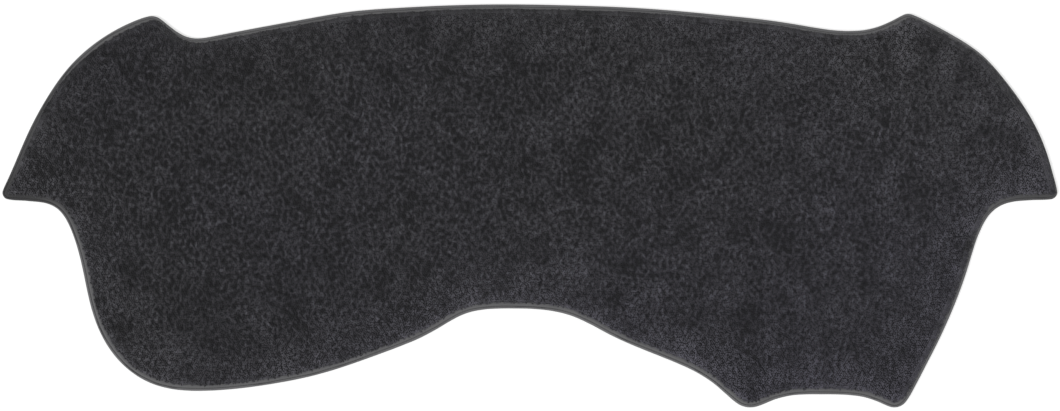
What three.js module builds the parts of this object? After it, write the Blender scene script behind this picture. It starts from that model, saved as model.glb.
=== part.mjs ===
// A dashboard cover mat: one sheet of cut-pile carpet, cut to the plan of a dashboard top, with a fabric
// tape folded over its raw edge all the way round. It lies flat with its pile up.
//
// Millimetres, +Z up. +X runs along the dashboard and +Y points to the windscreen. The origin is on the
// underside, in the middle of the mat's length and depth.

import * as THREE from 'three';

// Carpet
const pileHeight = 5.5;       // from the underside to the top of the pile
const flangeThickness = 2.2;  // the carpet's edge, pressed flat inside the tape
const pileRoll = 2.6;         // width over which the pile rises from the tape to its full height

// Binding tape
const tapeThickness = 0.8;
const tapeReach = 7.5;        // from the fold to the tape's inner edge, seen from above
const tapeBevel = 0.4;        // softening of the tape's inner edge
const seamInset = 2.8;        // from the tape's inner edge to the line of the seam
const seamHalfWidth = 0.7;
const seamDip = 0.3;          // how far the seam pulls the tape's face down

// Fit between the tape and the carpet
const clearance = 0.3;

// Fineness of the facets
const longestStep = 30;
const largestTurn = 8;        // degrees
const foldSteps = 4;
const rollSteps = 3;

// Cutting line, walked anticlockwise from above the right tip. A corner is an arc, with the headings at which
// the line arrives and leaves. A bend is a point that the line passes smoothly, as [x, y, heading]. Headings
// are in degrees from +X.
const rightWing = [
  [702, 95, 114],
  [636, 193, 131],
  [605, 220, 147],
];
const rightShoulder = { centre: [520, 248], radius: 16, arrives: 156, leaves: 208 };
const windscreenEdge = [
  [461, 242, 188],
  [392, 245, 170],
  [304, 258, 174],
  [105, 274, 178],
  [-35, 277, 180],
  [-215, 270, 184],
  [-274, 263, 190],
  [-431, 234, 191],
  [-470, 232, 163],
];
const leftShoulder = { centre: [-520, 241], radius: 20, arrives: 144, leaves: 196 };
const leftWing = [
  [-593, 227, 215],
  [-649, 171, 235],
  [-697, 84, 247],
];
const leftTip = { centre: [-716, 18], radius: 9, arrives: 245, leaves: 350 };
const leftSide = [
  [-663, 3, 344],
  [-646, -7, 314],
  [-635, -23, 296],
  [-608, -119, 282],
  [-580, -193, 303],
  [-520, -244, 338],
  [-442, -254, 362],
];
const cabinEdge = [
  [-323, -239, 371],
  [-227, -211, 380],
  [-152, -182, 384],
  [-109, -158, 390],
  [-82, -146, 375],
  [-22, -141, 360],
  [57, -151, 341],
  [110, -177, 333],
  [202, -216, 337],
  [254, -245, 321],
];
const lobeCorner = { centre: [303, -245], radius: 32, arrives: 322, leaves: 380 };
const notch = [
  [340, -265, 379],
  [400, -259, 360],
  [460, -263, 348],
];
const heelCorner = { centre: [501, -257], radius: 20, arrives: 338, leaves: 417 };
const rightSide = [
  [545, -218, 422],
  [600, -91, 432],
  [628, -17, 417],
  [661, 5, 371],
];
const rightTip = { centre: [715, 19], radius: 10, arrives: 4, leaves: 104 };
const cuttingLine = [
  ...rightWing,
  rightShoulder, ...windscreenEdge,
  leftShoulder, ...leftWing,
  leftTip, ...leftSide, ...cabinEdge,
  lobeCorner, ...notch,
  heelCorner, ...rightSide,
  rightTip,
];

function direction(heading) {
  const angle = THREE.MathUtils.degToRad(heading);
  return new THREE.Vector2(Math.cos(angle), Math.sin(angle));
}

// On a line walked anticlockwise, the inside lies to the left of the way.
function inward(heading) {
  return direction(heading + 90);
}

function pointOnArc(corner, heading) {
  return inward(heading).multiplyScalar(-corner.radius).add(new THREE.Vector2(...corner.centre));
}

// Where the line comes to a corner or bend, and where it goes on from it.
function entry(stop) {
  if (Array.isArray(stop)) return { at: new THREE.Vector2(stop[0], stop[1]), heading: stop[2] };
  return { at: pointOnArc(stop, stop.arrives), heading: stop.arrives };
}

function exit(stop) {
  if (Array.isArray(stop)) return entry(stop);
  return { at: pointOnArc(stop, stop.leaves), heading: stop.leaves };
}

function smoothCurve(from, to) {
  const handle = from.at.distanceTo(to.at) / 3;
  const turn = THREE.MathUtils.euclideanModulo(to.heading - from.heading + 180, 360) - 180;
  const stretch = 1 / Math.cos(THREE.MathUtils.degToRad(turn / 4)) ** 2;
  const curve = new THREE.CubicBezierCurve(
    from.at,
    direction(from.heading).multiplyScalar(handle * stretch).add(from.at),
    direction(to.heading).multiplyScalar(-handle * stretch).add(to.at),
    to.at,
  );
  return { curve, turn };
}

// The stops joined into one closed line. A station is a place on it, with the direction to the inside and
// the distance walked so far.
function walk(stops) {
  const stations = [];
  const add = (at, heading) => {
    const last = stations.at(-1);
    const distance = last ? last.distance + last.at.distanceTo(at) : 0;
    stations.push({ at, inside: inward(heading), distance });
  };
  stops.forEach((stop, index) => {
    if (!Array.isArray(stop)) {
      const turn = stop.leaves - stop.arrives;
      const steps = Math.ceil(turn / largestTurn);
      for (let i = 0; i < steps; i += 1) {
        const heading = stop.arrives + turn * i / steps;
        add(pointOnArc(stop, heading), heading);
      }
    }
    const { curve, turn } = smoothCurve(exit(stop), entry(stops[(index + 1) % stops.length]));
    const steps = Math.ceil(Math.max(curve.getLength() / longestStep, Math.abs(turn) / largestTurn));
    for (let i = 0; i < steps; i += 1) {
      const heading = THREE.MathUtils.radToDeg(curve.getTangent(i / steps).angle());
      add(curve.getPoint(i / steps), heading);
    }
  });
  return stations;
}

function centredOnBox(stations) {
  const box = new THREE.Box2().setFromPoints(stations.map((station) => station.at));
  const middle = box.getCenter(new THREE.Vector2());
  return stations.map((station) => ({ ...station, at: station.at.clone().sub(middle) }));
}

const edge = centredOnBox(walk(cuttingLine));
const edgeLength = edge.at(-1).distance + edge.at(-1).at.distanceTo(edge[0].at);
const edgeSides = edge.map((station, i) => {
  const next = edge[(i + 1) % edge.length];
  return new THREE.Line3(new THREE.Vector3(...station.at, 0), new THREE.Vector3(...next.at, 0));
});

function distanceToEdge(x, y) {
  const point = new THREE.Vector3(x, y, 0);
  const nearest = new THREE.Vector3();
  return Math.min(...edgeSides.map((side) => {
    side.closestPointToPoint(point, true, nearest);
    return nearest.distanceTo(point);
  }));
}

// The cutting line moved inwards. Inside a tight corner the moved line would cross itself, so the places
// that would turn back, or come nearer to the edge than the inset, are left out there.
function ring(inset, z) {
  const nearest = inset * Math.cos(THREE.MathUtils.degToRad(largestTurn));
  const places = [];
  for (const { at, inside, distance } of edge) {
    const x = at.x + inside.x * inset;
    const y = at.y + inside.y * inset;
    const last = places.at(-1);
    const goesOn = !last || (x - last.x) * inside.y - (y - last.y) * inside.x > 0;
    if (goesOn && distanceToEdge(x, y) >= nearest) places.push({ x, y, z, distance });
  }
  return places;
}

// Joins two rings by a band of triangles, keeping pace along both.
function bandBetween(first, second, firstStart, secondStart) {
  const triangles = [];
  const reach = (places, k) => places[k % places.length].distance + (k < places.length ? 0 : edgeLength);
  let i = 0;
  let j = 0;
  while (i < first.length || j < second.length) {
    const a = firstStart + i % first.length;
    const b = secondStart + j % second.length;
    const firstMoves = i < first.length
      && (j === second.length || reach(first, i + 1) <= reach(second, j + 1));
    if (firstMoves) {
      i += 1;
      triangles.push(a, firstStart + i % first.length, b);
    } else {
      j += 1;
      triangles.push(a, secondStart + j % second.length, b);
    }
  }
  return triangles;
}

function flatFace(places, start) {
  const contour = places.map((place) => new THREE.Vector2(place.x, place.y));
  return THREE.ShapeUtils.triangulateShape(contour, []).flat().map((k) => start + k);
}

// A solid with the given section all the way round the mat. The section is a list of [inset, z], walked
// outwards along the underside and back inwards over the top. An open section is closed by a flat face
// under the mat and another on top, and a closed one leaves the middle free.
function sweptSolid(section, closed) {
  const rings = section.map(([inset, z]) => ring(inset, z));
  const starts = [];
  const corners = [];
  for (const places of rings) {
    starts.push(corners.length / 3);
    for (const place of places) corners.push(place.x, place.y, place.z);
  }
  const triangles = [];
  const bands = closed ? rings.length : rings.length - 1;
  for (let k = 0; k < bands; k += 1) {
    const next = (k + 1) % rings.length;
    triangles.push(...bandBetween(rings[k], rings[next], starts[k], starts[next]));
  }
  if (!closed) {
    triangles.push(...flatFace(rings[0], starts[0]).reverse());
    triangles.push(...flatFace(rings.at(-1), starts.at(-1)));
  }
  const geometry = new THREE.BufferGeometry();
  geometry.setAttribute('position', new THREE.Float32BufferAttribute(corners, 3));
  geometry.setIndex(triangles);
  geometry.computeVertexNormals();
  return geometry;
}

// A round end on the section, from its underside up to its top, about a centre at [inset, z].
function roundEnd([inset, z], radius) {
  const places = [];
  for (let i = 0; i <= foldSteps; i += 1) {
    const angle = Math.PI * i / foldSteps;
    places.push([inset - radius * Math.sin(angle), z - radius * Math.cos(angle)]);
  }
  return places;
}

// Heights and radii through the bound edge, worked out from the flange outwards
const flangeRadius = flangeThickness / 2;
const cavityRadius = flangeRadius + clearance;
const foldRadius = cavityRadius + tapeThickness;
const foldCentre = [foldRadius, foldRadius];
const edgeHeight = 2 * foldRadius;

function bindingSection() {
  const seam = tapeReach - seamInset;
  const underTape = edgeHeight - tapeThickness;
  return [
    [tapeReach, 0],
    ...roundEnd(foldCentre, foldRadius),
    [seam - seamHalfWidth, edgeHeight],
    [seam, edgeHeight - seamDip],
    [seam + seamHalfWidth, edgeHeight],
    [tapeReach - tapeBevel, edgeHeight],
    [tapeReach, edgeHeight - tapeBevel],
    [tapeReach, underTape],
    ...roundEnd(foldCentre, cavityRadius).reverse(),
    [tapeReach, tapeThickness],
  ];
}

// The carpet keeps its full thickness up to the tape, and its edge goes on between the tape's two legs.
function carpetSection() {
  const pileStart = tapeReach + clearance;
  const flangeUnderside = foldRadius - flangeRadius;
  const flangeTop = foldRadius + flangeRadius;
  const roll = [];
  for (let i = 0; i <= rollSteps; i += 1) {
    const angle = Math.PI / 2 * i / rollSteps;
    roll.push([
      pileStart + pileRoll * (1 - Math.cos(angle)),
      flangeTop + (pileHeight - flangeTop) * Math.sin(angle),
    ]);
  }
  return [
    [pileStart, 0],
    [pileStart, flangeUnderside],
    ...roundEnd(foldCentre, flangeRadius),
    ...roll,
  ];
}

function fabric(color, roughness) {
  return new THREE.MeshStandardMaterial({ color, roughness, metalness: 0 });
}

const carpetPanel = new THREE.Mesh(sweptSolid(carpetSection(), false), fabric('#313133', 1));
carpetPanel.name = 'carpet_panel';

const edgeBinding = new THREE.Mesh(sweptSolid(bindingSection(), true), fabric('#5a5a5b', 0.85));
edgeBinding.name = 'edge_binding';

const mat = new THREE.Group();
mat.name = 'dashboard_cover_mat';
mat.add(carpetPanel, edgeBinding);

export default mat;
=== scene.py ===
import math

import bmesh
import bpy
import numpy as np
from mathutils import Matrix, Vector, kdtree
from mathutils.geometry import delaunay_2d_cdt


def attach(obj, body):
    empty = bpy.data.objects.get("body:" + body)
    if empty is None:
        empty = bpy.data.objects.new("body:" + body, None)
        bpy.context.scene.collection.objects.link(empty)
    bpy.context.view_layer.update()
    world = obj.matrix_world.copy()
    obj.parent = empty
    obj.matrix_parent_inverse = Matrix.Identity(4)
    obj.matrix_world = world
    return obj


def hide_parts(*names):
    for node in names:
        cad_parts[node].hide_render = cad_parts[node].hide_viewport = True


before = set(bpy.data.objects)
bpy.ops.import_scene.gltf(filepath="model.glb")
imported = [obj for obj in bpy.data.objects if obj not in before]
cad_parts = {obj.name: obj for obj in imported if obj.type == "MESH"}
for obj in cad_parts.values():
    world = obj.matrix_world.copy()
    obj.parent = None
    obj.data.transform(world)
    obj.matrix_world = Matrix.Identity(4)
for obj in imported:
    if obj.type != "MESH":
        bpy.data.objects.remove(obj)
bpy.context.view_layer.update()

bpy.ops.object.select_all(action="DESELECT")

# A cut-pile dashboard cover mat, lying flat with its pile up. Sizes in this file are in
# millimetres until a mesh is made from them. The windscreen side is +Y.
MM = 0.001

EDGE_LEVEL = 2.2
FOLD_RADIUS = 2.2
FOLD_DEPTH = 2.4
TAPE_THICKNESS = 0.8
TAPE_TOP = 4.4
TAPE_REACH = 9.0
SEAM_INSET = 3.5
STITCH_PITCH = 3.6
STITCH_SIZE = (1.35, 0.3, 0.24)
THREAD_LEVEL = TAPE_TOP - 0.27
THREAD_UNDER = 0.12
WARP_PITCH = 0.55
WEFT_PITCH = 0.75
TAPE_STEP = 1.35
CLOTH_STEP = 2.2
BAKE_STRIPS = 10
THREAD_CELLS = 48

GROUND_INSET = TAPE_REACH + 1.0
GROUND_LEVEL = 3.7
GROUND_RELIEF = 0.25
GROUND_PITCH = 5.0
BACKING_PITCH = 9.0

TUFT_PITCH = 2.62
TUFT_START = TAPE_REACH + 0.4
TUFT_ROOT = 3.0
TUFT_TIP = 5.35
TUFT_RADIUS = 1.65
NAP_DIRECTION = 35.0
NAP_LEAN = 0.6
CLUMP_LEAN = 0.55
CLUMP_HEIGHT = 0.25
SPLAY_REACH = 4.0
SPLAY_PITCH = 1.7
STRAY_REACH = 0.85
NAP_RUN_OFF = 1.05
RIGHT_RUN_OFF = 0.65
COMBED_SHARE = 1.25
TONE_CLUMP = 0.43
TONE_SWEEP = 0.18
TONE_GRAIN = 0.06
HALF_LENGTH = 700.0
HALF_DEPTH = 270.0

# Each row of the fringe: how far behind the first tufts, how far it reaches over the tape, and
# how strongly the nap must run off there for the row to have a tuft.
FRINGE_ROWS = ((0.0, 1.0, 0.12), (1.3, 0.75, 0.3), (2.6, 0.5, 0.3))
PILE_PIECES = ("pile_left", "pile_mid_left", "pile_mid_right", "pile_right")

PILE_GREY = 63
FELT_GREY = 46
TAPE_GREY = 97
THREAD_GREY = 64

CAMERA_PLACE = (0.0002, 0.0006, 3.4426)
CAMERA_LENS = 85.0
FLOOR_COLOUR = (0.6, 0.6, 0.6, 1)
FLOOR_GLOW = 0.5
KEY_FROM = (-0.62, -0.37, 0.69)
KEY_ENERGY = 1.85
KEY_SPREAD = 28
SKY_STRENGTH = 0.6


# Lines and fields

def mesh_piece(name, points, faces, materials, smooth=True):
    """A piece from points in millimetres and faces, lying at the origin in metres."""
    mesh = bpy.data.meshes.new(name)
    mesh.from_pydata(np.asarray(points, float) * MM, [], faces)
    for material in materials:
        mesh.materials.append(material)
    mesh.polygons.foreach_set("use_smooth", np.full(len(mesh.polygons), smooth))
    mesh.update()
    piece = bpy.data.objects.new(name, mesh)
    bpy.context.scene.collection.objects.link(piece)
    return piece


def cut_line(node, level):
    """The long closed line of a node's edges at this level, counter-clockwise from above."""
    copy = bmesh.new()
    copy.from_mesh(node.data)
    bmesh.ops.remove_doubles(copy, verts=copy.verts, dist=1e-6)
    copy.verts.index_update()
    flat = {v.index: v.co / MM for v in copy.verts if abs(v.co.z / MM - level) < 0.02}
    neighbours = {index: [] for index in flat}
    for edge in copy.edges:
        a, b = (v.index for v in edge.verts)
        if a in flat and b in flat:
            neighbours[a].append(b)
            neighbours[b].append(a)
    copy.free()
    lines = []
    left = set(flat)
    while left:
        start = min(left)
        line, before, here = [start], None, start
        while True:
            left.discard(here)
            onward = [n for n in neighbours[here] if n != before and n in left]
            if not onward:
                break
            before, here = here, onward[0]
            line.append(here)
        lines.append(np.array([[flat[i].x, flat[i].y] for i in line]))
    line = max(lines, key=line_length)
    return line if signed_area(line) > 0 else line[::-1]


def line_length(line):
    return float(np.linalg.norm(np.roll(line, -1, 0) - line, axis=1).sum())


def signed_area(line):
    onward = np.roll(line, -1, 0)
    return 0.5 * float((line[:, 0] * onward[:, 1] - line[:, 1] * onward[:, 0]).sum())


def eased_line(line, step):
    """The same closed line as a smooth curve, with its points this far apart."""
    before, after = np.roll(line, 1, 0), np.roll(line, -1, 0)
    chord = np.linalg.norm(after - line, axis=1)
    chord_before = np.roll(chord, 1)
    slope = (
        (line - before) / chord_before[:, None] * chord[:, None]
        + (after - line) / chord[:, None] * chord_before[:, None]
    ) / (chord + chord_before)[:, None]
    dense = []
    for i, length in enumerate(chord):
        j = (i + 1) % len(line)
        t = np.linspace(0, 1, max(8, int(length / 0.2)), endpoint=False)[:, None]
        dense.append(
            (2 * t**3 - 3 * t**2 + 1) * line[i]
            + (t**3 - 2 * t**2 + t) * slope[i] * length
            + (3 * t**2 - 2 * t**3) * line[j]
            + (t**3 - t**2) * slope[j] * length
        )
    dense = np.concatenate(dense)
    loop = np.vstack([dense, dense[:1]])
    travel = np.concatenate([[0], np.cumsum(np.linalg.norm(np.diff(loop, axis=0), axis=1))])
    count = int(round(travel[-1] / step))
    places = np.arange(count) * travel[-1] / count
    points = np.stack([np.interp(places, travel, loop[:, k]) for k in (0, 1)], 1)
    along = np.roll(points, -1, 0) - np.roll(points, 1, 0)
    along /= np.linalg.norm(along, axis=1)[:, None]
    inward = np.stack([-along[:, 1], along[:, 0]], 1)
    return points, inward, places, float(travel[-1])


def room(points, inward):
    """How far in from each point of the line a parallel line can lie before it folds up."""
    tree = kdtree.KDTree(len(points))
    for i, place in enumerate(points):
        tree.insert((place[0], place[1], 0), i)
    tree.balance()
    deepest, least, step = 12.0, 5.9, 0.25
    depth = np.full(len(points), deepest)
    for inset in np.arange(deepest, least, -step):
        moved = points + inward * inset
        nearest = np.array([tree.find((x, y, 0))[2] for x, y in moved])
        depth[nearest < inset - 0.1] = inset
    reach = 9
    padded = np.concatenate([depth[-reach:], depth, depth[:reach]])
    lowest = np.array([padded[i : i + 2 * reach + 1].min() for i in range(len(depth))])
    padded = np.concatenate([lowest[-reach:], lowest, lowest[:reach]])
    return np.convolve(padded, np.ones(2 * reach + 1) / (2 * reach + 1), "valid")


def drawn_in(inset, depth):
    """An inset, less where a tip has no room for the whole of it."""
    share = np.minimum(1, (depth - 0.5 - SEAM_INSET) / (GROUND_INSET - SEAM_INSET))
    return np.where(inset > SEAM_INSET, SEAM_INSET + (inset - SEAM_INSET) * share, inset)


FIELD_MARGIN = 20.0
FIELD_STEP = 1.0


class Field:
    """A smooth random height over the mat's plan, of unit spread."""

    def __init__(self, seed, shortest, longest, low, high, stretch=1.0, steepness=1.0):
        self.low = np.array(low) - FIELD_MARGIN
        size = np.array(high) + FIELD_MARGIN - self.low
        columns, rows = (np.ceil(size / FIELD_STEP)).astype(int)
        noise = np.fft.rfft2(np.random.default_rng(seed).standard_normal((rows, columns)))
        fy = np.fft.fftfreq(rows, FIELD_STEP)[:, None] * stretch
        fx = np.fft.rfftfreq(columns, FIELD_STEP)[None, :]
        pitch = 1 / np.maximum(np.hypot(fx, fy), 1e-6)
        band = 1 / (1 + (shortest / pitch) ** 8) / (1 + (pitch / longest) ** 4)
        self.values = np.fft.irfft2(noise * band * pitch**steepness, s=(rows, columns))
        self.values /= self.values.std()

    def at(self, points, values=None):
        values = self.values if values is None else values
        place = (points - self.low) / FIELD_STEP
        rows, columns = values.shape
        x = np.clip(place[:, 0], 0, columns - 1.001)
        y = np.clip(place[:, 1], 0, rows - 1.001)
        i, j = x.astype(int), y.astype(int)
        u, v = x - i, y - j
        return (
            values[j, i] * (1 - u) * (1 - v)
            + values[j, i + 1] * u * (1 - v)
            + values[j + 1, i] * (1 - u) * v
            + values[j + 1, i + 1] * u * v
        )

    def slope(self, points):
        """The direction in which it rises, of unit spread."""
        down, across = np.gradient(self.values, FIELD_STEP)
        spread = math.sqrt(float((down**2 + across**2).mean()))
        return np.stack([self.at(points, across), self.at(points, down)], 1) / spread


cut_edge = cut_line(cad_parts["edge_binding"], EDGE_LEVEL)
low, high = cut_edge.min(0), cut_edge.max(0)

# Clumps are how neighbouring tufts lean together, sweeps are how a hand has brushed the nap.
clumps = Field(11, 5.9, 34.0, low, high, stretch=1.2, steepness=0.38)
sweeps = Field(12, 30.0, 140.0, low, high, stretch=1.2)
ripples = Field(13, 9.0, 30.0, low, high)


def plan_nearness(line_points, inward, points):
    """How far inside the line each point of the plan lies, and the way out from it."""
    tree = kdtree.KDTree(len(line_points))
    for i, place in enumerate(line_points):
        tree.insert((place[0], place[1], 0), i)
    tree.balance()
    nearest = np.array([tree.find((x, y, 0))[1] for x, y in points])
    away = points - line_points[nearest]
    side = np.einsum("ij,ij->i", away, inward[nearest])
    return np.sign(side) * np.linalg.norm(away, axis=1), -inward[nearest]


def lattice(pitch, jitter, seed):
    """Points over the plan in offset rows, each moved a little at random."""
    rng = np.random.default_rng(seed)
    rise = pitch * math.sqrt(3) / 2
    rows = np.arange(low[1], high[1], rise)
    columns = np.arange(low[0] - pitch, high[0] + pitch, pitch)
    x, y = np.meshgrid(columns, rows)
    x = x + (np.arange(len(rows)) % 2)[:, None] * pitch / 2
    points = np.stack([x.ravel(), y.ravel()], 1)
    return points + rng.uniform(-jitter, jitter, points.shape) * pitch


# Materials

def material(name, roughness, sheen=0.0, sheen_roughness=0.4):
    made = bpy.data.materials.new(name)
    made.use_nodes = True
    shader = made.node_tree.nodes["Principled BSDF"]
    shader.inputs["Roughness"].default_value = roughness
    shader.inputs["Specular IOR Level"].default_value = 0.15
    shader.inputs["Sheen Weight"].default_value = sheen
    shader.inputs["Sheen Roughness"].default_value = sheen_roughness
    return made, made.node_tree.nodes, made.node_tree.links, shader


def node(nodes, kind, settings=(), **values):
    made = nodes.new(kind)
    for key, value in dict(settings).items():
        setattr(made, key, value)
    for key, value in values.items():
        made.inputs[key.replace("_", " ")].default_value = value
    return made


def maths(nodes, links, operation, a, b=0.0, c=None):
    made = nodes.new("ShaderNodeMath")
    made.operation = operation
    for slot, value in zip(made.inputs, (a, b) if c is None else (a, b, c)):
        if isinstance(value, (int, float)):
            slot.default_value = value
        else:
            links.new(value, slot)
    return made.outputs[0]


def grey(level, blue=0.0):
    """A linear colour from an 8-bit grey, with this much more blue than red."""
    channels = [level - blue / 3, level - blue / 2, level + blue * 2 / 3]
    return tuple(((c / 255 + 0.055) / 1.055) ** 2.4 for c in channels) + (1.0,)


def tone_group():
    """Slow drifts of tone over a cloth, as a factor near 1, and a patchy mask."""
    group = bpy.data.node_groups.new("cloth_tone", "ShaderNodeTree")
    group.interface.new_socket("Vector", in_out="INPUT", socket_type="NodeSocketVector")
    group.interface.new_socket("Size", in_out="INPUT", socket_type="NodeSocketFloat")
    group.interface.new_socket("Strength", in_out="INPUT", socket_type="NodeSocketFloat")
    group.interface.new_socket("Factor", in_out="OUTPUT", socket_type="NodeSocketFloat")
    group.interface.new_socket("Patches", in_out="OUTPUT", socket_type="NodeSocketFloat")
    nodes, links = group.nodes, group.links
    given = nodes.new("NodeGroupInput")
    out = nodes.new("NodeGroupOutput")
    noise = node(nodes, "ShaderNodeTexNoise", Detail=3.0, Roughness=0.55)
    links.new(given.outputs["Vector"], noise.inputs["Vector"])
    links.new(given.outputs["Size"], noise.inputs["Scale"])
    centred = maths(nodes, links, "SUBTRACT", noise.outputs["Fac"], 0.5)
    scaled = maths(nodes, links, "MULTIPLY", centred, given.outputs["Strength"])
    links.new(maths(nodes, links, "ADD", scaled, 1.0), out.inputs["Factor"])
    shifted = node(nodes, "ShaderNodeVectorMath", {"operation": "ADD"})
    shifted.inputs[1].default_value = (7.3, -2.1, 4.4)
    links.new(given.outputs["Vector"], shifted.inputs[0])
    patches = node(nodes, "ShaderNodeTexNoise", Detail=2.0, Roughness=0.5)
    links.new(shifted.outputs[0], patches.inputs["Vector"])
    links.new(given.outputs["Size"], patches.inputs["Scale"])
    spread = node(nodes, "ShaderNodeMapRange")
    spread.inputs["From Min"].default_value = 0.35
    spread.inputs["From Max"].default_value = 0.65
    links.new(patches.outputs["Fac"], spread.inputs["Value"])
    links.new(spread.outputs["Result"], out.inputs["Patches"])
    return group


CLOTH_TONE = tone_group()


def cloth_tone(nodes, links, vector, size, strength):
    made = nodes.new("ShaderNodeGroup")
    made.node_tree = CLOTH_TONE
    links.new(vector, made.inputs["Vector"])
    made.inputs["Size"].default_value = size
    made.inputs["Strength"].default_value = strength
    return made


def pile_material():
    """Charcoal cut pile, each tuft its own tone; painted shade darkens it from tip to root, and the tone
    also carries painted light and shade.
    """
    made, nodes, links, shader = material("pile_charcoal", 0.9, sheen=0.12, sheen_roughness=0.5)
    place = nodes.new("ShaderNodeTexCoord").outputs["Object"]
    tone = node(nodes, "ShaderNodeAttribute", {"attribute_name": "tone"}).outputs["Fac"]
    height = node(nodes, "ShaderNodeAttribute", {"attribute_name": "height"}).outputs["Fac"]
    drift = cloth_tone(nodes, links, place, 3.2, 0.5)
    fibres = node(nodes, "ShaderNodeTexNoise", Scale=900.0, Detail=2.0, Roughness=0.6)
    links.new(place, fibres.inputs["Vector"])
    # Painted shade: darker from the tip down to the root, for the shade between tufts.
    painted_root_shade = maths(nodes, links, "MULTIPLY_ADD", height, 0.6, 0.4)
    fibre = maths(nodes, links, "MULTIPLY_ADD", fibres.outputs["Fac"], 0.5, 0.75)
    factor = maths(nodes, links, "MULTIPLY", tone, painted_root_shade)
    factor = maths(nodes, links, "MULTIPLY", factor, drift.outputs["Factor"])
    factor = maths(nodes, links, "MULTIPLY", factor, fibre)
    split = nodes.new("ShaderNodeSeparateXYZ")
    links.new(place, split.inputs[0])
    along = maths(nodes, links, "MULTIPLY_ADD", split.outputs[0], 0.7, 0.5)
    nearer = maths(nodes, links, "MULTIPLY_ADD", split.outputs[1], -1.2, 0.25)
    cooler = maths(nodes, links, "MULTIPLY_ADD", along, nearer, 0.14)
    cooler = maths(nodes, links, "MULTIPLY_ADD", drift.outputs["Patches"], 0.15, cooler)
    hue = node(nodes, "ShaderNodeMix", {"data_type": "RGBA"})
    hue.inputs["A"].default_value = grey(PILE_GREY, 1.6)
    hue.inputs["B"].default_value = grey(PILE_GREY, 8.6)
    links.new(cooler, hue.inputs["Factor"])
    colour = node(nodes, "ShaderNodeVectorMath", {"operation": "SCALE"})
    links.new(hue.outputs["Result"], colour.inputs[0])
    links.new(factor, colour.inputs["Scale"])
    links.new(colour.outputs[0], shader.inputs["Base Color"])
    bump = node(nodes, "ShaderNodeBump", Strength=0.5, Distance=0.0004)
    links.new(fibres.outputs["Fac"], bump.inputs["Height"])
    links.new(bump.outputs[0], shader.inputs["Normal"])
    return made


def backing_material():
    """Needled felt under the pile: short crossing fibres, pressed flat."""
    made, nodes, links, shader = material("backing_felt", 0.9, sheen=0.1)
    place = nodes.new("ShaderNodeTexCoord").outputs["Object"]
    drift = cloth_tone(nodes, links, place, 14.0, 0.35)
    strands = None
    for angle, size in ((25, 420.0), (145, 380.0), (80, 450.0)):
        turn = node(nodes, "ShaderNodeMapping", {"vector_type": "TEXTURE"})
        turn.inputs["Rotation"].default_value = (0, 0, math.radians(angle))
        turn.inputs["Scale"].default_value = (1.0, 7.0, 1.0)
        links.new(place, turn.inputs["Vector"])
        strand = node(nodes, "ShaderNodeTexNoise", Scale=size, Detail=1.0)
        links.new(turn.outputs[0], strand.inputs["Vector"])
        level = strand.outputs["Fac"]
        strands = level if strands is None else maths(nodes, links, "MAXIMUM", strands, level)
    fibre = maths(nodes, links, "MULTIPLY_ADD", strands, 1.6, 0.0)
    factor = maths(nodes, links, "MULTIPLY", fibre, drift.outputs["Factor"])
    colour = node(nodes, "ShaderNodeVectorMath", {"operation": "SCALE"})
    colour.inputs[0].default_value = grey(FELT_GREY, 1.0)[:3]
    links.new(factor, colour.inputs["Scale"])
    links.new(colour.outputs[0], shader.inputs["Base Color"])
    bump = node(nodes, "ShaderNodeBump", Strength=0.6, Distance=0.0003)
    links.new(strands, bump.inputs["Height"])
    links.new(bump.outputs[0], shader.inputs["Normal"])
    return made


def tape_material():
    """Woven grey tape: fine ribs across it and threads along it, on the tape's own map."""
    made, nodes, links, shader = material("tape_weave", 0.75, sheen=0.15)
    weave_map = node(nodes, "ShaderNodeUVMap", {"uv_map": "Weave"}).outputs[0]
    place = nodes.new("ShaderNodeTexCoord").outputs["Object"]
    split = nodes.new("ShaderNodeSeparateXYZ")
    links.new(weave_map, split.inputs[0])
    along, across = split.outputs[0], split.outputs[1]
    warp = maths(nodes, links, "SINE", maths(nodes, links, "MULTIPLY", across, 2 * math.pi / WARP_PITCH))
    weft = maths(nodes, links, "SINE", maths(nodes, links, "MULTIPLY", along, 2 * math.pi / WEFT_PITCH))
    crossing = maths(nodes, links, "MULTIPLY", warp, weft)
    weave = maths(nodes, links, "MULTIPLY_ADD", crossing, 0.5, 0.5)
    drift = cloth_tone(nodes, links, place, 22.0, 0.3)
    fuzz = node(nodes, "ShaderNodeTexNoise", Scale=1300.0, Detail=2.0)
    links.new(place, fuzz.inputs["Vector"])
    factor = maths(nodes, links, "MULTIPLY_ADD", weave, 0.22, 0.89)
    factor = maths(nodes, links, "MULTIPLY", factor, drift.outputs["Factor"])
    lint = maths(nodes, links, "MULTIPLY_ADD", fuzz.outputs["Fac"], 0.3, 0.85)
    factor = maths(nodes, links, "MULTIPLY", factor, lint)
    # The tone attribute carries painted light and shade: darker wing tips, back edges and seam groove,
    # lighter fold crown and seam ridges.
    tone = node(nodes, "ShaderNodeAttribute", {"attribute_name": "tone"}).outputs["Fac"]
    factor = maths(nodes, links, "MULTIPLY", factor, tone)
    colour = node(nodes, "ShaderNodeVectorMath", {"operation": "SCALE"})
    colour.inputs[0].default_value = grey(TAPE_GREY, 1.0)[:3]
    links.new(factor, colour.inputs["Scale"])
    links.new(colour.outputs[0], shader.inputs["Base Color"])
    bump = node(nodes, "ShaderNodeBump", Strength=0.5, Distance=0.00012)
    links.new(weave, bump.inputs["Height"])
    links.new(bump.outputs[0], shader.inputs["Normal"])
    return made


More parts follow.
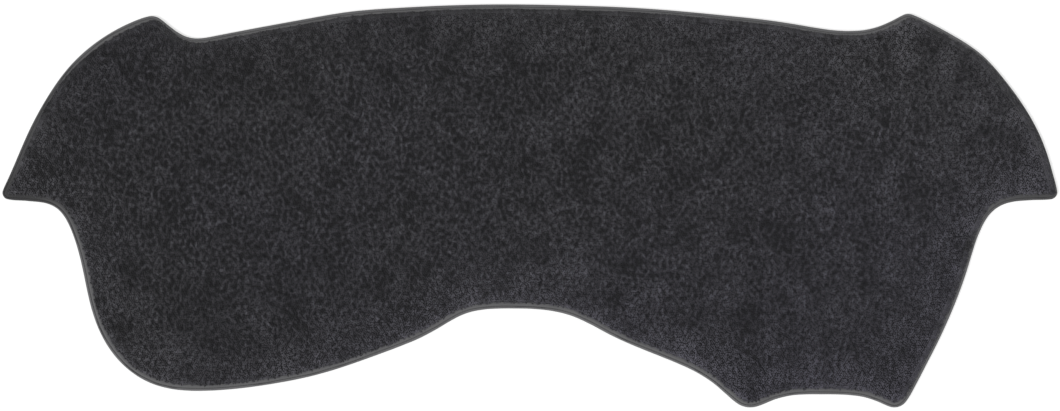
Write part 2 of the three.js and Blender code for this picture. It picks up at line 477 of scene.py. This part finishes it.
def thread_material():
    """Grey sewing thread, with the twist of its plies."""
    made, nodes, links, shader = material("thread_twist", 0.6, sheen=0.1)
    place = nodes.new("ShaderNodeTexCoord").outputs["Object"]
    plies = node(nodes, "ShaderNodeTexWave", {"bands_direction": "DIAGONAL"}, Scale=900.0, Distortion=1.0)
    links.new(place, plies.inputs["Vector"])
    drift = cloth_tone(nodes, links, place, 30.0, 0.3)
    twist = maths(nodes, links, "MULTIPLY_ADD", plies.outputs["Fac"], 0.3, 0.85)
    factor = maths(nodes, links, "MULTIPLY", twist, drift.outputs["Factor"])
    colour = node(nodes, "ShaderNodeVectorMath", {"operation": "SCALE"})
    colour.inputs[0].default_value = grey(THREAD_GREY, 1.0)[:3]
    links.new(factor, colour.inputs["Scale"])
    links.new(colour.outputs[0], shader.inputs["Base Color"])
    bump = node(nodes, "ShaderNodeBump", Strength=0.4, Distance=0.0001)
    links.new(plies.outputs["Fac"], bump.inputs["Height"])
    links.new(bump.outputs[0], shader.inputs["Normal"])
    return made


PILE = pile_material()
BACKING = backing_material()
TAPE = tape_material()
THREAD = thread_material()


# The carpet

def sweep_faces(stations, corners, start=0, closed=True):
    """Four-sided faces between the corners of neighbouring stations round a closed line."""
    faces = []
    spans = corners if closed else corners - 1
    for i in range(stations):
        j = (i + 1) % stations
        here, there = start + i * corners, start + j * corners
        for k in range(spans):
            m = (k + 1) % corners
            faces.append((here + k, there + k, there + m, here + m))
    return faces


def fill_plan(ring, inner):
    """Triangles over the plan inside a ring, through the inner points too, facing up."""
    points = [Vector(p) for p in np.vstack([ring, inner])]
    count = len(ring)
    border = [(i, (i + 1) % count) for i in range(count)]
    placed, _, faces, origins, _, _ = delaunay_2d_cdt(points, border, [list(range(count))], 1, 1e-6)
    return placed, faces, origins


def carpet_panel():
    """The cut panel: felt below, ground of the pile above, its edge thinned to go into the tape."""
    points, inward, _, _ = eased_line(cut_edge, CLOTH_STEP)
    lip = TAPE_REACH
    felt_side = [
        (GROUND_INSET, 0.0), (lip + 0.4, 0.15), (lip + 0.15, 0.7),
        (lip - 0.3, 1.1), (4.4, 1.15), (1.7, 1.25),
    ]
    pile_side = [
        (1.3, 2.2), (1.7, 3.15), (4.4, 3.25), (lip - 0.3, 3.3),
        (lip + 0.2, 3.4), (lip + 0.5, 3.55), (GROUND_INSET, GROUND_LEVEL),
    ]
    section = felt_side + pile_side
    depth = room(points, inward)
    corners = len(section)
    count = len(points)
    plan = np.stack([points + inward * drawn_in(inset, depth)[:, None] for inset, _ in section], 1)
    heights = np.tile([level for _, level in section], (count, 1))
    body = np.concatenate([plan, heights[:, :, None]], 2).reshape(-1, 3)
    faces = sweep_faces(count, corners, closed=False)
    rings = [[i * corners for i in range(count)], [i * corners + corners - 1 for i in range(count)]]
    cloth = [body]
    total = len(body)
    spans = []
    sides = ((rings[0], BACKING_PITCH, 21, False), (rings[1], GROUND_PITCH, 22, True))
    for border, pitch, seed, top in sides:
        ring = body[border][:, :2]
        inner = lattice(pitch, 0.18, seed)
        deep, _ = plan_nearness(points, inward, inner)
        inner = inner[deep > GROUND_INSET + pitch * 0.4]
        placed, filled, origins = fill_plan(ring, inner)
        renumber = {}
        added = []
        for index, sources in enumerate(origins):
            if sources and min(sources) < count:
                renumber[index] = border[min(sources)]
            else:
                renumber[index] = total + len(added)
                added.append(placed[index])
        added = np.array([[v[0], v[1]] for v in added])
        level = GROUND_LEVEL + GROUND_RELIEF * ripples.at(added) if top else np.zeros(len(added))
        cloth.append(np.concatenate([added, level[:, None]], 1))
        total += len(added)
        spans.append(len(faces))
        for face in filled:
            corner = [renumber[i] for i in face]
            faces.append(tuple(corner if top else corner[::-1]))
    cloth = np.concatenate(cloth)
    piece = mesh_piece("carpet", cloth, faces, (PILE, BACKING))
    slots = np.zeros(len(faces), int)
    highest = np.array([max(k % corners for k in face) for face in faces[: spans[0]]])
    slots[: spans[0]][highest <= len(felt_side)] = 1
    slots[spans[0] : spans[1]] = 1
    piece.data.polygons.foreach_set("material_index", slots)
    layout = plan_map(cloth, piece) * (1, 0.49)
    layout[:, 1] += 0.505 * np.repeat(slots, [len(face) for face in faces])
    bake_map(piece, layout)
    point_attribute(piece, "tone", 0.85 + 0.18 * clumps.at(cloth[:, :2]))
    deep, _ = plan_nearness(points, inward, cloth[:, :2])
    # Painted shade: the ground under the tufts gets a low height, so it is painted darker, less so near the
    # edge.
    point_attribute(piece, "height", 0.1 + 0.5 * np.exp(-np.maximum(deep - GROUND_INSET, 0) / 6))
    return piece


def bake_map(piece, corners):
    """The flat layout of a piece's faces, for its colours to be baked on."""
    layer = piece.data.uv_layers.new(name="OFBake")
    layer.data.foreach_set("uv", np.clip(corners, 0.002, 0.998).reshape(-1).astype(np.float32))


def plan_map(points, piece):
    """For each face corner of a piece, its place in the plan, from 0 to 1."""
    corner = np.zeros(len(piece.data.loops), int)
    piece.data.loops.foreach_get("vertex_index", corner)
    plan = points[:, :2] - points[:, :2].min(0)
    return (plan / plan.max(0))[corner]


def point_attribute(piece, name, values):
    made = piece.data.attributes.new(name, "FLOAT", "POINT")
    made.data.foreach_set("value", np.asarray(values, np.float32))


def one_tuft():
    """A tuft with its root at the origin: a narrow foot that flares out under a low cap."""
    bpy.ops.mesh.primitive_cone_add(vertices=3, radius1=1.0, radius2=0.0, depth=1.0, end_fill_type="TRIFAN")
    tuft = bpy.context.object
    bpy.ops.object.mode_set(mode="EDIT")
    bpy.ops.mesh.select_all(action="DESELECT")
    shape = bmesh.from_edit_mesh(tuft.data)
    for v in shape.verts:
        if v.co.z < 0 and math.hypot(v.co.x, v.co.y) < 0.01:
            v.select = True
    bmesh.update_edit_mesh(tuft.data)
    bpy.ops.transform.translate(value=(0, 0, -1.0))
    bpy.ops.object.mode_set(mode="OBJECT")
    points = np.array([v.co for v in tuft.data.vertices])
    faces = np.array([list(p.vertices) for p in tuft.data.polygons])
    bpy.data.objects.remove(tuft)
    return points, faces


def tufts():
    """The tufts of the pile, in four pieces from the left wing to the right one."""
    points, inward, _, _ = eased_line(cut_edge, CLOTH_STEP)
    nap = np.array([math.cos(math.radians(NAP_DIRECTION)), math.sin(math.radians(NAP_DIRECTION))])
    roots = lattice(TUFT_PITCH, 0.28, 31)
    deep, out = plan_nearness(points, inward, roots)
    inside = deep > TUFT_START
    roots, deep, out = roots[inside], deep[inside], out[inside]
    splay = 0.3 * np.clip(1 - (deep - TUFT_START) / 6, 0, 1) * facing(out, nap)

    # Where the nap runs off the panel, a fringe of it lies over the tape.
    edge_points, edge_inward, _, _ = eased_line(cut_edge, SPLAY_PITCH)
    run_off = np.maximum(facing(-edge_inward, nap), combed_wing(edge_points))
    stray = np.random.default_rng(33)
    for behind, reach, least in FRINGE_ROWS:
        inset = TUFT_START + behind
        share = np.maximum(run_off, STRAY_REACH * stray.uniform(0, 1, len(run_off)) ** 1.5)
        kept = share > least
        roots = np.concatenate([roots, (edge_points + edge_inward * inset)[kept]])
        out = np.concatenate([out, -edge_inward[kept]])
        deep = np.concatenate([deep, np.full(kept.sum(), inset)])
        splay = np.concatenate([splay, reach * share[kept]])

    order = np.argsort(roots[:, 0], kind="stable")
    roots, deep, out, splay = roots[order], deep[order], out[order], splay[order]
    rng = np.random.default_rng(32)
    shape, shape_faces = one_tuft()
    outer = np.hypot(shape[:, 0], shape[:, 1]) > 0.5
    cap = shape[:, 2] == shape[:, 2].max()
    count = len(roots)
    turn = rng.uniform(0, 2 * math.pi, count)
    size = TUFT_RADIUS * rng.uniform(0.88, 1.15, count)
    cosine, sine = np.cos(turn), np.sin(turn)
    clump = clumps.at(roots)
    sweep = sweeps.at(roots)
    calm = (1 - 0.5 * np.exp(-deep / 40)) * (1 - 0.15 * roots[:, 0] / HALF_LENGTH)
    lean = CLUMP_LEAN * calm[:, None] * clumps.slope(roots) + rng.normal(0, 0.1, (count, 2))
    lean += NAP_LEAN * (1 + 0.5 * sweep)[:, None] * nap
    lean += (splay * SPLAY_REACH * rng.uniform(0.75, 1.2, count))[:, None] * out
    tip = TUFT_TIP + CLUMP_HEIGHT * calm * clump + rng.normal(0, 0.05, count)
    foot = TUFT_ROOT + (TAPE_TOP + 0.15 - TUFT_ROOT) * np.minimum(1, 2.5 * splay)
    skirt = np.maximum(tip - 0.75, foot + 0.1)
    body = np.zeros((count, len(shape), 3))
    for k, corner in enumerate(shape):
        share = 1.0 if cap[k] else 0.75 if outer[k] else 0.0
        body[:, k, 0] = roots[:, 0] + (corner[0] * cosine - corner[1] * sine) * size + lean[:, 0] * share
        body[:, k, 1] = roots[:, 1] + (corner[0] * sine + corner[1] * cosine) * size + lean[:, 1] * share
        body[:, k, 2] = tip if cap[k] else skirt if outer[k] else foot
    settled = 1 - 0.62 * np.exp(-deep / 50)
    settled *= (1 - 0.22 * roots[:, 0] / HALF_LENGTH) * (1 - 0.22 * np.clip(-roots[:, 1] / 200, 0, 1))
    tone = 1.0 + TONE_CLUMP * settled * clump + TONE_SWEEP * sweep + rng.normal(0, TONE_GRAIN, count)
    # Painted light and shade from the edges multiplies each tuft's own tone.
    tone = np.clip(tone, 0.25, 2.4) * painted_edge_light(roots, deep, out)
    # Painted shade: tufts splayed over the tape are darker, most along the front and back edges.
    tone *= 1 - (0.3 - 0.15 * np.abs(out[:, 0])) * np.minimum(1, 2 * splay)
    height = np.where(cap, 1.0, np.where(outer, 0.62, 0.0))
    pieces = []
    for name, share in zip(PILE_PIECES, np.array_split(np.arange(count), len(PILE_PIECES))):
        part = body[share].reshape(-1, 3)
        faces = (shape_faces[None] + (np.arange(len(share)) * len(shape))[:, None, None]).reshape(-1, 3)
        piece = mesh_piece(name, part, faces.tolist(), (PILE,))
        bake_map(piece, plan_map(part, piece))
        point_attribute(piece, "tone", np.repeat(tone[share], len(shape)))
        point_attribute(piece, "height", np.tile(height, len(share)))
        pieces.append(piece)
    return pieces


def near_place(points, place, size):
    """1 at a place on the plan, fading to 0 over this size."""
    x, y = ((points - place) / size).T
    return np.exp(-(x**2) - y**2)


def facing(out, nap):
    """How fully the nap runs off the panel at an edge that looks this way, from 0."""
    to_the_right = np.clip((out[:, 0] - 0.5) / 0.3, 0, 1) * (out[:, 1] > -0.7)
    return np.clip(NAP_RUN_OFF * out @ nap, 0, 1) + RIGHT_RUN_OFF * to_the_right


def combed_wing(points):
    """On the left wing's side the nap is combed over the tape by hand."""
    return COMBED_SHARE * near_place(points, (-655, 150), (65, 95))


def painted_edge_light(points, deep, out):
    """Painted light and shade: the pile lighter near the binding, least along the back edge; lighter
    towards the right, most at the back right and darker at the back left; and lighter near the front left.
    """
    across = points[:, 0] / HALF_LENGTH
    back = np.maximum(points[:, 1] / HALF_DEPTH, 0)
    painted_edge_lift = (0.52 - 0.3 * out[:, 1] + 0.1 * across) * np.exp(-deep / 42)
    lighter_front_left = 0.12 * near_place(points, (-570, -200), (90, 70))
    return np.exp(painted_edge_lift + lighter_front_left + 0.06 * across + 0.02 * back + 0.3 * back * across)


# The binding

def wobble(places, length, seed, waves, spread):
    """A slow drift along the closed edge, of this spread, from a few whole waves."""
    rng = np.random.default_rng(seed)
    total = np.zeros(len(places))
    for wave in waves:
        total += np.sin(2 * math.pi * wave * places / length + rng.uniform(0, 6.28))
    return total * spread / math.sqrt(len(waves) / 2)


def binding():
    """The tape folded over the edge and sewn through, swept round the whole outline."""
    points, inward, places, length = eased_line(cut_edge, TAPE_STEP)
    stitches = int(round(length / STITCH_PITCH))
    count = len(points)
    reach = wobble(places, length, 41, (19, 31, 47, 83), 0.22)
    seam = wobble(places, length, 42, (13, 27, 55), 0.15)
    swell = wobble(places, length, 43, (61, 97, 151), 0.06)
    pull = 0.5 + 0.5 * np.cos(2 * math.pi * stitches * places / length)
    outer, shades = [], []
    fold = FOLD_RADIUS
    top_reach = TAPE_REACH + reach
    low_reach = TAPE_REACH - 0.1 - reach * 0.6
    seam_at = SEAM_INSET + seam
    dip = 0.36 + 0.16 * pull
    zero = np.zeros(count)

    # Each section corner has a painted light factor: painted highlights on the fold and beside the seam,
    # painted shade in the seam's groove.
    def add(inset, level, shade=1.0):
        outer.append((zero + inset, zero + level))
        shades.append(shade)

    add(low_reach - 0.15, 0.42)
    add(low_reach, 0.14)
    add(low_reach - 0.35, 0.0)
    add(seam_at + 1.0, 0.0)
    add(seam_at + 0.35, dip * 0.5)
    add(seam_at - 0.35, dip * 0.5)
    add(seam_at - 1.0, 0.02)
    for angle in range(0, 181, 20):
        turn = math.radians(angle)
        # Painted highlight on the upper half of the fold.
        painted_fold_highlight = 1.0 if angle < 100 else 1.12
        rise = fold + swell * (angle / 180)
        add(FOLD_DEPTH * (1 - math.sin(turn)), fold - rise * math.cos(turn), painted_fold_highlight)
    top = TAPE_TOP + swell
    # Painted shade in the seam's groove, with painted highlights on the ridges beside it.
    add(seam_at - 1.0, top - 0.02, 1.08)
    add(seam_at - 0.4, top - dip, 0.88)
    add(seam_at, top - dip * 1.3, 0.74)
    add(seam_at + 0.4, top - dip, 0.88)
    add(seam_at + 1.0, top, 1.02)
    add(top_reach - 2.4, top - 0.14, 0.98)
    add(top_reach - 0.6, top - 0.42)
    add(top_reach - 0.12, top - 0.6)
    add(top_reach, top - 0.78)
    add(top_reach - 0.2, top - 0.98)
    add(seam_at + 0.5, TAPE_TOP - TAPE_THICKNESS - 0.15)
    add(seam_at - 0.5, TAPE_TOP - TAPE_THICKNESS - 0.15)
    hollow = fold - TAPE_THICKNESS
    for angle in range(180, -1, -45):
        turn = math.radians(angle)
        add(fold - hollow * math.sin(turn), fold - hollow * math.cos(turn))
    corners = len(outer)
    depth = room(points, inward)
    plan = np.stack([points + inward * drawn_in(inset, depth)[:, None] for inset, _ in outer], 1)
    heights = np.stack([level for _, level in outer], 1)
    body = np.concatenate([plan, heights[:, :, None]], 2)
    faces = [f[::-1] for f in sweep_faces(count, corners)]
    piece = mesh_piece("binding_tape", body.reshape(-1, 3), faces, (TAPE,))
    # Painted shade: the tape darker towards both wing tips, most at the left tip, and darker along the back
    # edges.
    painted_tip_shade = np.clip((np.abs(points[:, 0]) - 600) / 90, 0, 1)
    painted_left_tip_shade = near_place(points, (-700, 10), (45, 40))
    painted_tip_shade = (1 - 0.42 * painted_tip_shade**2 * (3 - 2 * painted_tip_shade)) * (1 - 0.42 * painted_left_tip_shade)
    painted_tip_shade *= 1 + 0.07 * np.minimum(inward[:, 1], 0)
    point_attribute(piece, "tone", (painted_tip_shade[:, None] * np.array(shades)).reshape(-1))
    lengths = np.linalg.norm(np.roll(body, -1, 1) - body, axis=2).mean(0)
    across = np.concatenate([[0], np.cumsum(lengths)])
    along = np.concatenate([places, [length]])
    weave = piece.data.uv_layers.new(name="Weave")
    spans = np.zeros((count, corners, 4, 2))
    strips = np.zeros((count, corners, 4, 2))
    i = np.arange(count)[:, None]
    k = np.arange(corners)[None, :]
    strip = i * BAKE_STRIPS // count
    for corner, (di, dk) in enumerate(((0, 1), (1, 1), (1, 0), (0, 0))):
        spans[:, :, corner, 0] = along[i + di]
        spans[:, :, corner, 1] = across[k + dk]
        strips[:, :, corner, 0] = 0.01 + 0.98 * (along[i + di] * BAKE_STRIPS / length - strip)
        strips[:, :, corner, 1] = (strip + 0.03 + 0.94 * across[k + dk] / across[-1]) / BAKE_STRIPS
    weave.data.foreach_set("uv", spans.reshape(-1).astype(np.float32))
    bake_map(piece, strips)
    return piece, (points, inward, places, length, stitches, seam_at)


def one_stitch():
    """One stitch along X, lying on the cloth, its ends going down into it."""
    bpy.ops.mesh.primitive_uv_sphere_add(segments=6, ring_count=4, radius=1.0, rotation=(0, math.pi / 2, 0))
    stitch = bpy.context.object
    bpy.ops.object.transform_apply(rotation=True)
    bpy.ops.object.mode_set(mode="EDIT")
    bpy.ops.mesh.select_all(action="SELECT")
    bpy.ops.transform.resize(value=STITCH_SIZE)
    bpy.ops.mesh.select_all(action="DESELECT")
    shape = bmesh.from_edit_mesh(stitch.data)
    for v in shape.verts:
        v.select = abs(v.co.x) > STITCH_SIZE[0] - 0.05
    bmesh.update_edit_mesh(stitch.data)
    bpy.ops.transform.translate(value=(0, 0, -0.35))
    bpy.ops.object.mode_set(mode="OBJECT")
    points = np.array([v.co for v in stitch.data.vertices])
    faces = [list(p.vertices) for p in stitch.data.polygons]
    bpy.data.objects.remove(stitch)
    return points, faces


def seam_thread(seam):
    """The row of stitches in the tape's groove, above and below."""
    points, inward, places, length, stitches, seam_at = seam
    shape, shape_faces = one_stitch()
    rng = np.random.default_rng(51)
    at = (np.arange(stitches) + 0.5) * length / stitches
    loop = np.append(places, length)

    def along_edge(values):
        return np.interp(at, loop, np.append(values, values[0]))

    x, y = along_edge(points[:, 0]), along_edge(points[:, 1])
    nx, ny = along_edge(inward[:, 0]), along_edge(inward[:, 1])
    size = np.hypot(nx, ny)
    nx, ny = nx / size, ny / size
    inset = along_edge(seam_at)
    parts, faces, layout = [], [], []
    start = 0
    local = (shape[:, :2] - shape[:, :2].min(0)) / np.ptp(shape[:, :2], axis=0)
    for above in (True, False):
        slant = rng.normal(0.0, 0.05, stitches)
        level = THREAD_LEVEL if above else THREAD_UNDER
        for i in range(stitches):
            sx, sy = ny[i], -nx[i]
            across = shape[:, 1] + slant[i] * shape[:, 0]
            part = np.empty_like(shape)
            part[:, 0] = x[i] + nx[i] * (inset[i] + across) + sx * shape[:, 0]
            part[:, 1] = y[i] + ny[i] * (inset[i] + across) + sy * shape[:, 0]
            part[:, 2] = level + (shape[:, 2] if above else -shape[:, 2] * 0.5)
            parts.append(part)
            turned = shape_faces if above else [f[::-1] for f in shape_faces]
            faces.extend([tuple(start + c for c in f) for f in turned])
            cell = divmod(start // len(shape), THREAD_CELLS)
            spread = local[[c for f in turned for c in f]]
            layout.append((np.array(cell) + 0.1 + 0.8 * spread) / THREAD_CELLS)
            start += len(shape)
    piece = mesh_piece("seam_thread", np.concatenate(parts), faces, (THREAD,))
    bake_map(piece, np.concatenate(layout))
    return piece


carpet = carpet_panel()
pile = tufts()
tape, seam = binding()
thread = seam_thread(seam)

for piece in [carpet, tape, thread, *pile]:
    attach(piece, "root")
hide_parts("carpet_panel")
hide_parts("edge_binding")


# The studio

def seen_white(nodes, links):
    """1 where the surface is seen straight, in a gloss or through glass, and 0 for its light."""
    path = nodes.new("ShaderNodeLightPath").outputs
    seen = maths(nodes, links, "MAXIMUM", path["Is Camera Ray"], path["Is Glossy Ray"])
    return maths(nodes, links, "MAXIMUM", seen, path["Is Transmission Ray"])


def studio_floor():
    bpy.ops.mesh.primitive_plane_add(size=80.0, location=(0, 0, -0.0002))
    floor = bpy.context.object
    floor.name = "studio_floor"
    made = bpy.data.materials.new("studio_white")
    made.use_nodes = True
    nodes, links = made.node_tree.nodes, made.node_tree.links
    nodes.clear()
    out = nodes.new("ShaderNodeOutputMaterial")
    matt = node(nodes, "ShaderNodeBsdfDiffuse")
    matt.inputs["Color"].default_value = FLOOR_COLOUR
    glow = nodes.new("ShaderNodeEmission")
    seen = seen_white(nodes, links)
    both = nodes.new("ShaderNodeAddShader")
    links.new(maths(nodes, links, "MULTIPLY", seen, FLOOR_GLOW), glow.inputs["Strength"])
    links.new(matt.outputs[0], both.inputs[0])
    links.new(glow.outputs[0], both.inputs[1])
    links.new(both.outputs[0], out.inputs["Surface"])
    floor.data.materials.append(made)


def studio_light():
    world = bpy.data.worlds.new("studio")
    bpy.context.scene.world = world
    world.use_nodes = True
    nodes, links = world.node_tree.nodes, world.node_tree.links
    sky = nodes["Background"]
    sky.inputs["Color"].default_value = (1, 1, 1, 1)
    seen = seen_white(nodes, links)
    strength = maths(nodes, links, "MULTIPLY_ADD", seen, 1 - SKY_STRENGTH, SKY_STRENGTH)
    links.new(strength, sky.inputs["Strength"])
    light = bpy.data.lights.new("key", "SUN")
    light.energy = KEY_ENERGY
    light.angle = math.radians(KEY_SPREAD)
    key = bpy.data.objects.new("key", light)
    key.rotation_euler = Vector(KEY_FROM).to_track_quat("Z", "Y").to_euler()
    bpy.context.scene.collection.objects.link(key)


def camera():
    made = bpy.data.cameras.new("camera")
    made.lens = CAMERA_LENS
    made.sensor_width = 36.0
    made.clip_end = 200.0
    spot = bpy.data.objects.new("camera", made)
    spot.location = CAMERA_PLACE
    bpy.context.scene.collection.objects.link(spot)
    bpy.context.scene.camera = spot


studio_floor()
studio_light()
camera()
bpy.context.scene.view_settings.view_transform = "Standard"
